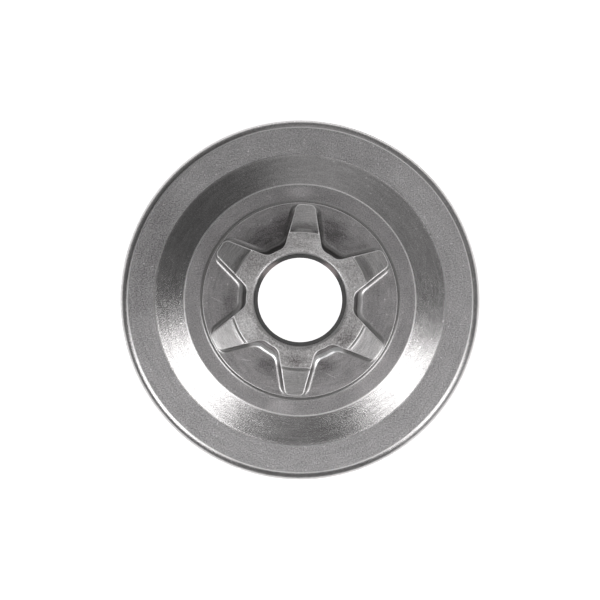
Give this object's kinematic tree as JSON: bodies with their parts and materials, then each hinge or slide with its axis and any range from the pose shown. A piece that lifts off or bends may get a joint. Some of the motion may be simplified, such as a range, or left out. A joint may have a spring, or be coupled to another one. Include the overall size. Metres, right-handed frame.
{
  "type": "chainsaw clutch drum sprocket",
  "caption": "Chainsaw clutch drum in one piece: a shallow steel cup with a toothed chain sprocket on its closed end and a bore through its hub for a needle cage.",
  "frame": {"origin": "on the axis, in the plane of the open rim that the part rests on", "axes": "+Z along the axis from the open rim to the sprocket, one tooth along +Y"},
  "size_m": [0.0588, 0.0588, 0.0264],
  "materials": {
    "steel": "bare steel, blasted on its flats and turned on its cone and bore"
  },
  "bodies": {
    "root": {"clutch_drum_sprocket": "steel"}
  },
  "joints": []
}
